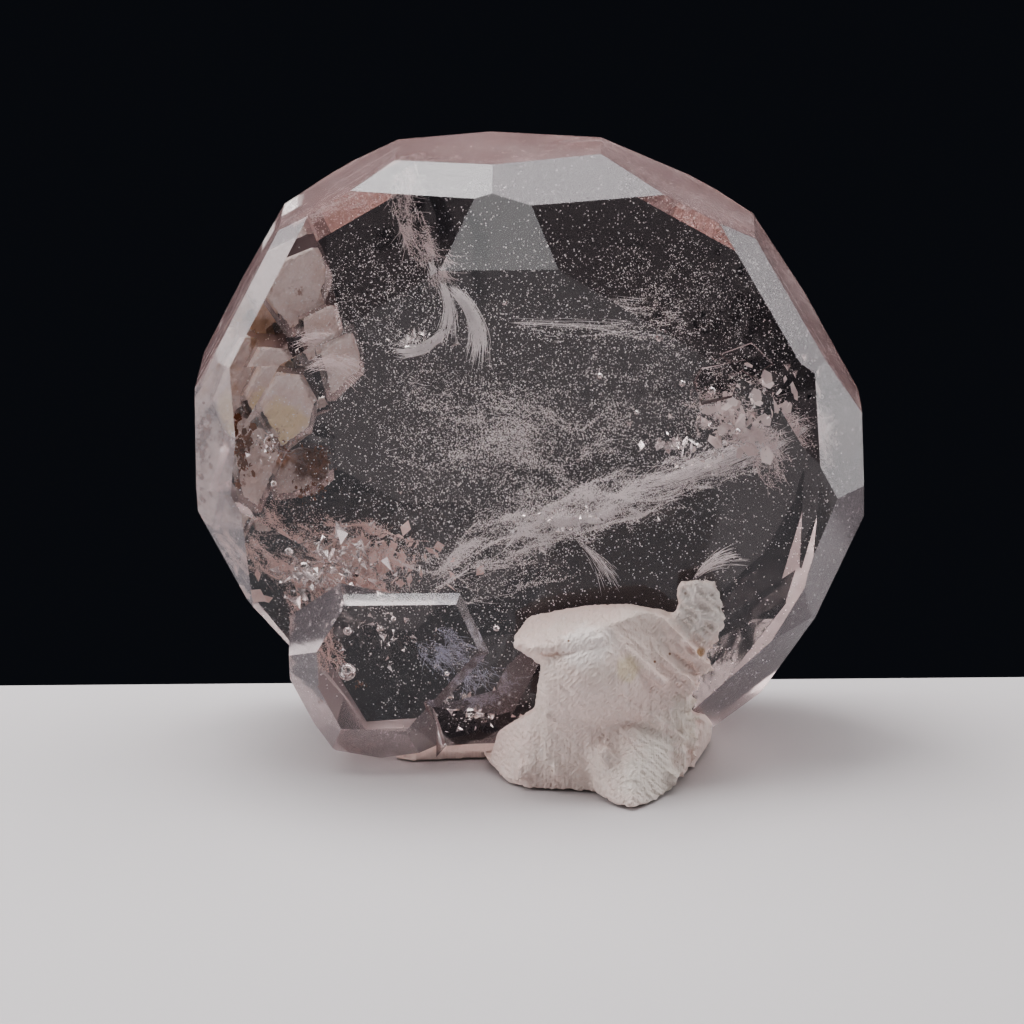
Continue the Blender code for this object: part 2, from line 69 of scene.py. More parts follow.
# Cloudy veils: path, half width across it, ripple, number of specks, number of strands, and finish
VEILS = {
    "veil_middle": (
        (
            (-9.4, 1.5, -9.4), (-5.0, 1.0, -6.6), (-0.6, 0.5, -5.0),
            (4.2, 0.0, -3.6), (9.6, -0.5, -1.9), (13.8, 0.0, -0.8),
        ),
        (0.5, 2.2, 2.9), 1.2, 14000, 900, "white_grains",
    ),
    "veil_bright": (
        (
            (-2.6, -0.4, -5.6), (1.6, -0.6, -4.4), (6.0, -0.8, -3.4),
            (11.6, -0.8, -1.8),
        ),
        (0.6, 1.2, 2.3), 1.2, 20000, 800, "white_grains",
    ),
    "veil_right": (
        (
            (7.0, 1.0, -2.6), (13.2, 1.0, -0.9), (17.2, 1.0, 0.9),
            (22.4, 1.2, 2.6),
        ),
        (-0.3, 1.6, 1.6), 1.0, 9000, 500, "white_grains",
    ),
    "veil_high": (
        (
            (-1.4, 2.0, 13.4), (2.4, 1.6, 12.4), (8.6, 1.8, 12.8),
            (12.4, 2.0, 12.0),
        ),
        (0.2, 1.6, 0.6), 0.3, 1000, 30, "white_grains",
    ),
    "veil_low": (
        (
            (-14.6, 2.0, -7.0), (-9.8, 1.5, -9.4), (-5.6, 1.0, -10.6),
            (-1.0, 1.6, -9.4), (4.4, 2.0, -8.2),
        ),
        (0.4, 2.0, 2.2), 0.7, 3500, 120, "white_grains",
    ),
    "veil_centre": (
        (
            (-13.4, 3.0, 5.6), (-8.0, 2.4, 4.0), (-2.0, 2.0, 3.4),
            (4.0, 2.6, 1.2), (9.0, 3.0, 3.4),
        ),
        (0.6, 2.4, 4.6), 0.9, 9000, 160, "white_grains",
    ),
    "pink_column": (
        (
            (-10.6, 1.5, 25.6), (-10.0, 1.0, 22.6), (-8.8, 0.6, 19.6),
            (-7.2, 0.4, 17.2),
        ),
        (1.3, 0.8, 0.3), 0.35, 3000, 420, "pink_grains",
    ),
    "low_break": (
        (
            (-9.4, -1.0, -14.6), (-7.2, -2.0, -16.6), (-4.6, -3.0, -19.4),
        ),
        (1.9, 1.2, 1.0), 0.35, 1600, 420, "blue_grains",
    ),
    "left_glow": (
        (
            (-24.6, 4.2, -3.6), (-20.6, 3.6, -7.0), (-15.4, 3.0, -8.0),
            (-10.0, 2.6, -9.4),
        ),
        (1.1, 1.0, 2.8), 1.2, 26000, 500, "peach_grains",
    ),
    "small_crystal_glow": (
        (
            (-20.0, 3.4, -9.4), (-19.4, 3.0, -14.6), (-17.6, 2.4, -19.0),
        ),
        (1.6, 1.0, -0.4), 0.4, 7000, 160, "peach_grains",
    ),
    "right_break": (
        (
            (13.8, -2.0, 7.6), (17.6, -1.0, 5.4), (20.8, 0.0, 2.6),
            (22.4, 0.6, -1.0),
        ),
        (1.2, 1.8, 1.6), 0.7, 4200, 600, "pink_grains",
    ),
}
# Bundles of hair-fine strands: start, end, spread at both ends, bow, number, width and finish
TUFTS = {
    "white_tuft": (
        (-6.9, -1.0, 17.4), (-4.6, -1.6, 10.8),
        0.9, 1.5, (1.1, 0.0, 0.2), 420, 0.05, "white_grains",
    ),
    "white_tuft_root": (
        (-7.6, -0.6, 17.8), (-7.2, -1.0, 12.6),
        0.7, 1.2, (0.5, 0.0, 0.0), 240, 0.045, "white_grains",
    ),
    "claw_tuft": (
        (-7.0, -1.0, 13.6), (-11.6, -1.0, 11.6),
        0.5, 1.0, (0.0, 0.0, -0.9), 260, 0.06, "white_grains",
    ),
    "plume": (
        (9.0, 0.6, -1.8), (22.4, 1.0, 3.4),
        1.3, 1.8, (0.0, 0.0, -0.5), 300, 0.03, "white_grains",
    ),
    "right_star": (
        (14.2, -3.0, -9.4), (18.4, -3.0, -7.2),
        0.4, 1.7, (0.0, 0.0, 0.6), 130, 0.045, "white_grains",
    ),
    "high_strands": (
        (-2.0, 1.2, 13.6), (11.6, 1.4, 12.4),
        0.9, 1.0, (0.0, 0.0, 0.3), 45, 0.022, "white_grains",
    ),
    "low_star": (
        (4.0, -1.0, -6.0), (7.4, -1.0, -10.4),
        0.3, 1.6, (0.4, 0.0, 0.0), 80, 0.035, "white_grains",
    ),
    "block_strands": (
        (-19.6, 1.6, 9.6), (-14.8, 2.0, 8.6),
        0.9, 1.6, (0.0, 0.0, 0.9), 120, 0.045, "pink_grains",
    ),
}
# Groups of thin chips and flakes: centre, spread, number, largest width, flatness, sides and finish
FLAKES = {
    "veil_glints": ((4.6, -1.0, -3.8), (5.0, 1.2, 1.6), 260, 0.7, 0.05, 3, "glint"),
    "plume_glints": ((15.6, 0.0, 0.6), (5.6, 1.2, 1.4), 130, 0.8, 0.05, 3, "glint"),
    "scattered_glints": ((-2.0, 1.0, -1.0), (14.0, 4.0, 9.0), 110, 0.6, 0.05, 3, "glint"),
    "left_glints": ((-17.6, 0.0, -7.8), (4.6, 2.0, 2.4), 260, 1.9, 0.05, 3, "glint"),
    "left_peach_flakes": ((-15.0, 2.6, -8.6), (7.0, 2.0, 2.6), 230, 1.9, 0.08, 4, "peach_chip"),
    "right_fragments": ((18.8, -1.0, 4.6), (3.4, 2.4, 2.8), 120, 1.9, 0.16, 5, "pink_chip"),
    "right_glints": ((17.0, -2.0, 4.8), (4.0, 2.0, 3.0), 130, 1.0, 0.05, 3, "glint"),
    "sliver_glints": ((12.8, -3.0, 2.9), (2.2, 0.6, 0.8), 60, 1.3, 0.06, 4, "glint"),
    "claw_glints": ((-9.4, -1.0, 12.4), (1.8, 0.7, 0.9), 70, 1.1, 0.08, 3, "glint"),
    "small_crystal_glints": ((-13.6, -4.0, -14.0), (3.4, 2.0, 3.0), 110, 1.0, 0.05, 3, "glint"),
    "low_glints": ((-6.0, -4.0, -21.0), (2.8, 1.4, 2.0), 90, 1.3, 0.06, 3, "glint"),
    "brown_ring": ((-19.0, 4.6, 0.3), (1.2, 1.0, 1.1), 200, 0.8, 0.35, 5, "brown"),
    "brown_bits": ((-22.4, 3.6, 2.0), (1.5, 1.2, 0.8), 110, 0.6, 0.4, 5, "brown"),
    "brown_corner": ((-25.4, 2.8, 1.6), (0.7, 1.6, 2.4), 120, 0.9, 0.35, 5, "brown"),
    "stain_low": ((-19.8, 5.0, -2.6), (1.6, 1.0, 0.8), 80, 0.6, 0.35, 5, "brown"),
    "orange_spot": ((-15.4, -3.0, -18.9), (0.5, 0.4, 0.4), 30, 0.35, 0.5, 5, "brown"),
    "frost_left": ((-23.0, -3.0, 3.6), (1.6, 0.8, 1.4), 60, 0.8, 0.1, 3, "glint"),
}
# Colours laid on the crust and on the lump: centre, reach and colour
CRUST_TONES = (
    ((-21.6, 3.2, 4.0), 2.4, (0.84, 0.74, 0.5)), ((-23.1, 8.0, 7.8), 4.0, (0.72, 0.52, 0.36)),
    ((-17.0, 6.0, 2.3), 1.5, (0.9, 0.5, 0.38)), ((-19.6, 8.0, -0.4), 2.3, (0.16, 0.06, 0.03)),
    ((-24.6, 7.0, 1.4), 2.0, (0.24, 0.11, 0.07)), ((-25.6, 7.0, 5.0), 1.6, (0.84, 0.55, 0.44)),
    ((-24.6, 7.0, -2.4), 1.8, (0.86, 0.6, 0.52)), ((-22.4, 8.0, 0.2), 1.4, (0.5, 0.26, 0.14)),
)
LUMP_TONES = (
    ((8.6, -17.0, -13.9), 1.3, (0.72, 0.6, 0.46)), ((14.8, -13.5, -13.6), 0.45, (0.45, 0.28, 0.16)),
    ((11.6, -18.0, -23.0), 4.6, (0.77, 0.69, 0.63)), ((15.4, -12.6, -9.8), 3.0, (0.78, 0.71, 0.67)),
    ((-0.6, -14.0, -14.6), 2.0, (0.66, 0.66, 0.74)), ((13.8, -14.0, -19.6), 2.6, (0.79, 0.7, 0.63)),
    ((5.0, -16.8, -11.6), 2.4, (0.93, 0.83, 0.79)), ((5.0, -16.8, -18.0), 4.0, (0.86, 0.71, 0.66)),
)
# Gas bubbles: centre and radius
BUBBLES = (
    ((-20.9, -6.2, -5.2), 0.42), ((-16.3, -9.6, -16.2), 0.82), ((-16.2, -8.8, -12.6), 0.4),
    ((11.4, -7.6, 13.6), 0.34), ((-18.6, -5.0, -7.6), 0.26), ((-3.2, -4.0, -13.6), 0.3),
    ((6.2, -3.0, 9.4), 0.28), ((15.6, -5.0, 7.8), 0.4), ((13.4, -6.0, 9.2), 0.3),
    ((-12.2, -6.4, -12.0), 0.26), ((-2.0, -6.0, 16.6), 0.22), ((18.2, -5.0, 4.6), 0.26),
    ((-22.6, -3.0, -0.2), 0.3), ((9.4, -5.0, 6.4), 0.2), ((-7.6, -5.4, -17.4), 0.24),
)
# Clouds of specks: centre, spread, number
CLOUDS = (
    ((-3.0, 2.0, 3.0), (9.0, 3.5, 6.5), 9000),
    ((4.0, 1.0, -3.6), (8.0, 2.4, 2.6), 5000),
    ((12.0, 0.0, 5.0), (7.0, 3.0, 6.0), 3500),
    ((-13.0, 1.0, -9.0), (5.0, 3.0, 4.0), 2500),
    ((-13.0, -2.0, 14.0), (8.0, 3.0, 6.0), 4500),
    ((13.0, -2.0, 14.0), (8.0, 3.0, 6.0), 4500),
)
# The main crystal's faces: azimuth, tilt and distance, each there in front and behind
FACES = (
    (0, 0, 10.2), (90, 18.7, 16.1), (148.4, 16.4, 16.6), (30, 29.5, 19.9), (120.7, 29.7, 19.3),
    (57.7, 29.0, 17.9), (173.6, 43.5, 25.0), (-4, 32.8, 21.8), (-55.3, 8.3, 12.8), (209, 47, 23.3),
)
# Limits of the clear stone: its radius, and where the albite takes its room below and in front
CLEAR_RADIUS = 26.5
ALBITE_LEFT, ALBITE_RIGHT, ALBITE_BACK, ALBITE_TOP = -2.0, 15.0, -8.0, -9.0
SKIN = 0.5
CHIP_SKIN = 0.8
# How far along a strand its four places are
STRAND_SHARES = (0.0, 0.35, 0.7, 1.0)
# First seed of each group
DUST_SEED, CLOUD_SEED, VEIL_SEED, TUFT_SEED, FLAKE_SEED = 7, 11, 21, 51, 71
FULL_TURN = 6.28
# How squarely a face has to look along Y to be a big face, or a narrow bevel
BIG_FACE, BEVEL = 0.8, 0.31
# Camera place in metres, with its pitch, yaw and roll in degrees, and the point that the lights look at
CAMERA_PLACE = (0.0082, -0.4556, 0.1663)
CAMERA_ANGLES = (17.725, -1.255, 0.896)
LIGHT_TARGET = (0.0, 0.0, 0.027)
# Soft lights: place and size in metres, and share of the main light's power
LIGHTS = {
    "top_left_light": ((-0.13, 0.1, 0.42), (0.26, 0.36), 1.0),
    "top_right_light": ((0.13, 0.1, 0.42), (0.26, 0.36), 0.45),
    "left_light": ((-0.38, -0.06, 0.2), (0.22, 0.3), 0.34),
    "right_light": ((0.38, 0.06, 0.12), (0.26, 0.36), 0.3),
    "front_light": ((0.0, -0.62, 0.33), (0.3, 0.12), 0.12),
}
FLOOR_SIZE = (0.9, 0.5, 0.01)
FLOOR_DROP = 0.00515
FLOOR_ROUNDING = 0.003


def world(x, y, z):
    """A place given in millimetres from the crystal's centre, in metres from the ground."""
    return (Vector((x, y, z)) + CENTRE) * MM


class Wire:
    """One output socket, which ordinary arithmetic extends with Math nodes."""

    def __init__(self, tree, socket):
        self.tree = tree
        self.socket = socket

    def math(self, operation, *values):
        return self.tree.node("ShaderNodeMath", dict(enumerate(values)), operation=operation)

    def __add__(self, other):
        return self.math("ADD", self, other)

    def __sub__(self, other):
        return self.math("SUBTRACT", self, other)

    def __rsub__(self, other):
        return self.math("SUBTRACT", other, self)

    def __mul__(self, other):
        return self.math("MULTIPLY", self, other)

    def __truediv__(self, other):
        return self.math("DIVIDE", self, other)

    def __pow__(self, other):
        return self.math("POWER", self, other)

    def __abs__(self):
        return self.math("ABSOLUTE", self)

    def above(self, low, high):
        """0 below low and 1 above high, with a soft step between."""
        return self.tree.node(
            "ShaderNodeMapRange",
            {"Value": self, "From Min": low, "From Max": high, "To Min": 0.0, "To Max": 1.0},
            interpolation_type="SMOOTHSTEP",
        )

    __radd__ = __add__
    __rmul__ = __mul__


class Nodes:
    """Builds one node tree."""

    def __init__(self, tree):
        self.tree = tree
        tree.nodes.clear()

    def node(self, kind, values=None, output=0, **settings):
        """Adds a node, sets what it is before what it takes, and gives back one of its outputs."""
        made = self.tree.nodes.new(kind)
        for name, setting in settings.items():
            setattr(made, name, setting)
        for name, value in (values or {}).items():
            if isinstance(value, Wire):
                self.tree.links.new(value.socket, made.inputs[name])
            else:
                made.inputs[name].default_value = value
        return Wire(self, made.outputs[output])


class Finish(Nodes):
    """A surface finish, with the patterns that several finishes share."""

    def __init__(self, name):
        self.material = bpy.data.materials.new(name)
        self.material.use_nodes = True
        super().__init__(self.material.node_tree)
        self.place = self.node("ShaderNodeTexCoord", output=3)

    def mapped(self, turn=(0.0, 0.0, 0.0), scale=(1.0, 1.0, 1.0)):
        turned = tuple(math.radians(angle) for angle in turn)
        return self.node("ShaderNodeMapping", {"Vector": self.place, "Rotation": turned, "Scale": scale})

    def grain(self, scale, detail=4.0, rough=0.55, where=None):
        values = {"Vector": where or self.place, "Scale": scale, "Detail": detail, "Roughness": rough}
        return self.node("ShaderNodeTexNoise", values)

    def cells(self, scale):
        return self.node("ShaderNodeTexVoronoi", {"Vector": self.place, "Scale": scale})

    def mix(self, factor, first, second):
        return self.node("ShaderNodeMix", {0: factor, 6: first, 7: second}, output=2, data_type="RGBA")

    def facing(self):
        """The three parts of the surface's own direction."""
        direction = self.node("ShaderNodeNewGeometry", output=1)
        parts = self.node("ShaderNodeSeparateXYZ", {0: direction})
        outs = parts.socket.node.outputs
        return [Wire(self, outs[axis]) for axis in range(3)]

    def bump(self, height, strength, distance):
        return self.node("ShaderNodeBump", {"Height": height, "Strength": strength, "Distance": distance})

    def shader(self, **values):
        named = {name.replace("_", " "): value for name, value in values.items()}
        return self.node("ShaderNodeBsdfPrincipled", named)

    def done(self, surface, volume=None):
        made = self.tree.nodes.new("ShaderNodeOutputMaterial")
        self.tree.links.new(surface.socket, made.inputs["Surface"])
        if volume:
            self.tree.links.new(volume.socket, made.inputs["Volume"])
        return self.material


def rgb(colour):
    return (*colour, 1.0)


def finish_piece(piece, material, smooth=False):
    piece.data.materials.clear()
    piece.data.materials.append(material)
    for face in piece.data.polygons:
        face.use_smooth = smooth
        face.material_index = 0
    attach(piece, "root")
    return piece


def dress_node(name, material):
    """Gives a CAD node's object its finish."""
    node = frame["nodes"][name]
    for slot in node.material_slots:
        slot.material = material
    return node


def stone(f, look, roughness, share=0.0, tone=None, normal=None):
    """Clear stone, with a share of it that scatters light as fine frosting would."""
    extra = {"Normal": normal} if normal else {}
    clear = f.shader(
        Base_Color=rgb(look.body), Roughness=roughness, IOR=look.refraction, Transmission_Weight=1.0, **extra
    )
    if not share:
        return clear
    frost = f.shader(Base_Color=rgb(tone), Roughness=0.5, **extra)
    return f.node("ShaderNodeMixShader", {0: share, 1: clear, 2: frost})


def crystal_finish(look):
    """Clear pink stone: plain on its big faces, satin on its narrow bevels and ribbed on its prism faces."""
    f = Finish("morganite")
    lean = abs(f.facing()[1])
    scratches = f.grain(1.0, 1.0, 0.5, f.mapped((0, 34, 0), (60.0, 200.0, 1500.0)))
    bevel_height = scratches * 0.3 + f.grain(150.0, 1.0, 0.5) * 0.8
    bevel_bump = f.bump(bevel_height, look.relief * 0.5, 0.0001)
    satin = stone(f, look, 0.12, look.bevel_frost, (0.7, 0.62, 0.66), bevel_bump)
    ribs = f.grain(1.0, 2.0, 0.6, f.mapped(scale=(40.0, 2600.0, 40.0)))
    steps = f.grain(1.0, 1.0, 0.5, f.mapped(scale=(25.0, 900.0, 25.0)))
    rib_bump = f.bump(ribs * 0.3 + steps * 0.7, look.relief, 0.0001)
    ribbed = stone(f, look, 0.16, look.prism_frost, (0.3, 0.19, 0.19), rib_bump)
    clear = stone(f, look, 0.008)
    is_big = lean.above(BIG_FACE - 0.01, BIG_FACE + 0.01)
    is_front = lean.above(BEVEL - 0.01, BEVEL + 0.01)
    fronts = f.node("ShaderNodeMixShader", {0: is_big, 1: satin, 2: clear})
    surface = f.node("ShaderNodeMixShader", {0: is_front, 1: ribbed, 2: fronts})
    tint = f.node("ShaderNodeVolumeAbsorption", {"Color": rgb(look.tint), "Density": look.tint_density})
    return f.done(surface, tint)


def grain_finish(name, colour, roughness=0.6, clear=0.35):
    """Small grains, strands and chips that let part of the light through."""
    f = Finish(name)
    surface = f.shader(Base_Color=rgb(colour), Roughness=roughness)
    through = f.node("ShaderNodeBsdfTranslucent", {"Color": rgb(colour)})
    return f.done(f.node("ShaderNodeMixShader", {0: clear, 1: surface, 2: through}))


def glint_finish():
    """Thin gas-filled cracks, which flash like a mirror where they face a light."""
    f = Finish("glint")
    mirror = f.shader(Base_Color=rgb((0.95, 0.93, 0.93)), Roughness=0.16, Metallic=1.0)
    haze = f.shader(Base_Color=rgb((0.9, 0.86, 0.86)), Roughness=0.5)
    return f.done(f.node("ShaderNodeMixShader", {0: 0.2, 1: mirror, 2: haze}))


def bubble_finish(look):
    """Gas inside the stone: light passes from the stone into it, so its index is the stone's turned over."""
    f = Finish("bubble")
    glass = f.node(
        "ShaderNodeBsdfGlass", {"Color": rgb((1.0, 1.0, 1.0)), "Roughness": 0.0, "IOR": 1.0 / look.refraction}
    )
    return f.done(glass)


FINISHES = {
    "white_grains": lambda: grain_finish("white_grains", (1.0, 0.99, 1.0), 0.6, 0.0),
    "pink_grains": lambda: grain_finish("pink_grains", (0.97, 0.88, 0.88), 0.6, 0.0),
    "peach_grains": lambda: grain_finish("peach_grains", (0.98, 0.8, 0.76), 0.6, 0.0),
    "blue_grains": lambda: grain_finish("blue_grains", (0.72, 0.76, 0.88)),
    "pink_chip": lambda: grain_finish("pink_chip", (0.96, 0.88, 0.87), 0.3, 0.1),
    "peach_chip": lambda: grain_finish("peach_chip", (0.97, 0.8, 0.76), 0.35, 0.2),
    "brown": lambda: grain_finish("brown", (0.2, 0.075, 0.03), 0.35, 0.1),
    "glint": glint_finish,
}


def kept_finish(name):
    """A finish that several pieces share, made once."""
    return bpy.data.materials.get(name) or FINISHES[name]()


def toned(f, base, tones, ragged):
    """Lays soft-edged patches of colour around given places."""
    wobble = f.grain(ragged, 4.0, 0.65)
    for place, reach, colour in tones:
        gap = f.node("ShaderNodeVectorMath", {0: f.place, 1: world(*place)}, output=1, operation="DISTANCE")
        patch = 1.0 - (gap / (reach * MM) + wobble * 1.6 - 0.8).above(0.55, 1.15)
        base = f.mix(patch, base, rgb(colour))
    return base


def albite_finish(look):
    """White feldspar, pinkish in its middle and greyer at its thin edges, with pinpoints of rust."""
    f = Finish("albite")
    stripes = f.grain(1.0, 3.0, 0.6, f.mapped((0, 42, 18), (2600.0, 260.0, 140.0)))
    cloud = f.grain(150.0, 4.0, 0.6)
    fine = f.grain(1500.0, 5.0, 0.65)
    base = f.mix(cloud.above(0.38, 0.68) * 0.6, rgb(look.albite), rgb((0.76, 0.67, 0.61)))
    base = toned(f, base, LUMP_TONES, 420.0)
    base = f.mix(fine.above(0.5, 0.72) * 0.3, base, rgb((0.94, 0.88, 0.86)))
    pinpoints = (1.0 - f.cells(700.0).above(0.05, 0.12)) * f.grain(190.0, 2.0).above(0.56, 0.62)
    colour = f.mix(pinpoints, base, rgb((0.3, 0.17, 0.1)))
    height = stripes * 1.1 + fine * 0.6 + f.grain(5200.0, 2.0) * 0.2
    relief = f.bump(height, 0.7, 0.00022)
    return f.done(f.shader(Base_Color=colour, Roughness=0.38 + fine * 0.2, Normal=relief))


def crust_finish():
    """Cream albite with tan and peach patches and brown iron stains."""
    f = Finish("stained_albite")
    cloud = f.grain(300.0, 5.0, 0.65)
    base = f.mix(cloud.above(0.4, 0.64), rgb((0.9, 0.84, 0.81)), rgb((0.82, 0.7, 0.65)))
    base = toned(f, base, CRUST_TONES, 520.0)
    stain = f.grain(640.0, 4.0, 0.6).above(0.62, 0.68)
    colour = f.mix(stain * 0.7, base, rgb((0.3, 0.15, 0.09)))
    height = f.grain(1400.0, 4.0, 0.6)
    return f.done(f.shader(Base_Color=colour, Roughness=0.45, Normal=f.bump(height, 0.6, 0.0002)))


def floor_finish(look):
    f = Finish("floor")
    cloud = f.grain(14.0, 3.0, 0.5)
    colour = f.mix(cloud * 0.2, rgb(look.floor), rgb(tuple(0.9 * part for part in look.floor)))
    return f.done(f.shader(Base_Color=colour, Roughness=0.5))


class MorganiteLook(PropertyGroup):
    """Sizes and colours of the stone and its stage."""

    refraction: FloatProperty(
        name="Refraction", description="Index of refraction of the crystal", default=1.58, min=1.0, max=2.5
    )
    body: FloatVectorProperty(
        name="Body", description="Colour of the crystal's surface", default=(1.0, 0.98, 0.975),
        subtype="COLOR", min=0.0, max=1.0,
    )
    tint: FloatVectorProperty(
        name="Tint", description="Colour that the crystal lets through", default=(1.0, 0.84, 0.825),
        subtype="COLOR", min=0.0, max=1.0,
    )
    tint_density: FloatProperty(
        name="Tint density", description="How fast the tint deepens with depth, per metre",
        default=19.0, min=0.0,
    )
    relief: FloatProperty(
        name="Relief", description="Strength of growth lines and scratches", default=0.6, subtype="FACTOR",
        min=0.0, max=1.0,
    )
    bevel_frost: FloatProperty(
        name="Bevel frost", description="Share of the narrow bevels that scatters light", default=0.2,
        subtype="FACTOR", min=0.0, max=1.0,
    )
    prism_frost: FloatProperty(
        name="Prism frost", description="Share of the prism faces that scatters light", default=0.3,
        subtype="FACTOR", min=0.0, max=1.0,
    )
    dust_size: FloatProperty(
        name="Dust size", description="Largest width of a dust speck", default=0.0002, subtype="DISTANCE",
        unit="LENGTH", precision=5,
    )
    dust_count: IntProperty(name="Dust count", description="Specks inside the crystal", default=20000, min=0)
    strand_width: FloatProperty(
        name="Strand width", description="Width of the hair-fine strands in the veils", default=0.00003,
        subtype="DISTANCE", unit="LENGTH", precision=5,
    )
    albite: FloatVectorProperty(
        name="Albite", description="Main colour of the albite", default=(0.84, 0.67, 0.62), subtype="COLOR",
        min=0.0, max=1.0,
    )
    albite_cell: FloatProperty(
        name="Albite cell", description="Edge of one face of the albite's fine mesh", default=0.00022,
        subtype="DISTANCE", unit="LENGTH", precision=5,
    )


class StageLook(PropertyGroup):
    """Floor and light."""

    floor: FloatVectorProperty(
        name="Floor", description="Colour of the floor", default=(0.56, 0.53, 0.54), subtype="COLOR",
        min=0.0, max=1.0,
    )
    floor_back: FloatProperty(
        name="Floor back", description="How far the floor reaches behind the crystal", default=0.016,
        subtype="DISTANCE", unit="LENGTH",
    )
    light: FloatProperty(name="Light", description="Power of the overhead soft light", default=2.5, min=0.0)
    lens: FloatProperty(
        name="Lens", description="Focal length of the camera", default=188.5, subtype="DISTANCE_CAMERA"
    )


def scatter_tree(name, material):
    """Puts a small turned solid on every point of a mesh, and makes it real."""
    tree = bpy.data.node_groups.new(name, "GeometryNodeTree")
    face = tree.interface
    face.new_socket("Geometry", in_out="INPUT", socket_type="NodeSocketGeometry")
    sizes = (("Largest Width", 0.0001), ("Smallest Share", 0.3), ("Flatness", 1.0), ("Narrowness", 0.6))
    for label, default in sizes:
        face.new_socket(label, in_out="INPUT", socket_type="NodeSocketFloat").default_value = default
    for label, default in (("Sides", 3), ("Seed", 1)):
        face.new_socket(label, in_out="INPUT", socket_type="NodeSocketInt").default_value = default
    face.new_socket("Geometry", in_out="OUTPUT", socket_type="NodeSocketGeometry")
    g = Nodes(tree)
    start = tree.nodes.new("NodeGroupInput")
    shape, width, share, flatness, narrow, sides, seed = (Wire(g, start.outputs[index]) for index in range(7))
    cone = {"Vertices": sides, "Radius Top": 0.0, "Radius Bottom": 0.55, "Depth": 0.9}
    grain = g.node("GeometryNodeMeshCone", cone)
    spread = g.node("FunctionNodeRandomValue", {2: share, 3: 1.0, "Seed": seed}, output=1, data_type="FLOAT")
    size = spread * spread * width
    stretch = g.node(
        "FunctionNodeRandomValue", {2: narrow, 3: 1.0, "Seed": seed + 5}, output=1, data_type="FLOAT"
    )
    shape_size = g.node("ShaderNodeCombineXYZ", {0: size, 1: size * stretch, 2: size * flatness})
    turns = {0: (0.0,) * 3, 1: (FULL_TURN,) * 3, "Seed": seed}
    turn = g.node("FunctionNodeRandomValue", turns, data_type="FLOAT_VECTOR")
    placed = g.node(
        "GeometryNodeInstanceOnPoints",
        {"Points": shape, "Instance": grain, "Rotation": turn, "Scale": shape_size},
    )
    real = g.node("GeometryNodeRealizeInstances", {"Geometry": placed})
    dressed = g.node("GeometryNodeSetMaterial", {"Geometry": real, "Material": material})
    end = tree.nodes.new("NodeGroupOutput")
    tree.links.new(dressed.socket, end.inputs[0])
    return tree


def strand_tree(name, material):
    """Draws a fine tapered hair along every line of a mesh."""
    tree = bpy.data.node_groups.new(name, "GeometryNodeTree")
    face = tree.interface
    face.new_socket("Geometry", in_out="INPUT", socket_type="NodeSocketGeometry")
    face.new_socket("Width", in_out="INPUT", socket_type="NodeSocketFloat").default_value = 0.00004
    face.new_socket("Sides", in_out="INPUT", socket_type="NodeSocketInt").default_value = 3
    face.new_socket("Geometry", in_out="OUTPUT", socket_type="NodeSocketGeometry")
    g = Nodes(tree)
    start = tree.nodes.new("NodeGroupInput")
    shape, width, sides = (Wire(g, start.outputs[index]) for index in range(3))
    lines = g.node("GeometryNodeMeshToCurve", {"Mesh": shape})
    share = g.node("GeometryNodeSplineParameter")
    taper = 1.1 - (share * 2.0 - 1.0) ** 2.0
    ring = g.node("GeometryNodeCurvePrimitiveCircle", {"Resolution": sides, "Radius": 1.0})
    tube = g.node(
        "GeometryNodeCurveToMesh",
        {"Curve": lines, "Profile Curve": ring, "Scale": taper * width * 0.5, "Fill Caps": True},
    )
    real = g.node("GeometryNodeRealizeInstances", {"Geometry": tube})
    dressed = g.node("GeometryNodeSetMaterial", {"Geometry": real, "Material": material})
    end = tree.nodes.new("NodeGroupOutput")
    tree.links.new(dressed.socket, end.inputs[0])
    return tree


def grown(name, verts, edges, tree, material, **inputs):
    """Runs a tree on points or lines and keeps the result as a plain mesh."""
    mesh = bpy.data.meshes.new(name)
    mesh.from_pydata([tuple(vert) for vert in verts], edges, [])
    carrier = bpy.data.objects.new(name, mesh)
    bpy.context.scene.collection.objects.link(carrier)
    step = carrier.modifiers.new("grow", "NODES")
    step.node_group = tree
    ids = {item.name: item.identifier for item in tree.interface.items_tree if item.in_out == "INPUT"}
    for label, value in inputs.items():
        step[ids[label.replace("_", " ")]] = value
    bpy.context.view_layer.update()
    graph = bpy.context.evaluated_depsgraph_get()
    made = bpy.data.meshes.new_from_object(carrier.evaluated_get(graph))
    carrier.modifiers.clear()
    carrier.data = made
    return finish_piece(carrier, material)


def scattered(name, points, finish, **inputs):
    """Small turned solids on given places."""
    material = kept_finish(finish)
    return grown(name, points, [], scatter_tree(name + "_tree", material), material, **inputs)


def stranded(name, lines, finish, **inputs):
    """Hair-fine strands along lines of equally many places each."""
    material = kept_finish(finish)
    verts, edges = [], []
    for line in lines:
        first = len(verts)
        verts.extend(world(*place) for place in line)
        edges.extend((first + step, first + step + 1) for step in range(len(line) - 1))
    return grown(name, verts, edges, strand_tree(name + "_tree", material), material, **inputs)


def inside_planes():
    """Normals and distances of the main faces, which keep inclusions inside the clear crystal."""
    normals, distances = [], []
    for azimuth, tilt, distance in FACES:
        turn, lean = math.radians(azimuth), math.radians(tilt)
        for side in (-1.0, 1.0):
            normals.append(
                (math.cos(turn) * math.sin(lean), side * math.cos(lean), math.sin(turn) * math.sin(lean))
            )
            distances.append(distance)
    return np.array(normals), np.array(distances)


NORMALS, DISTANCES = inside_planes()


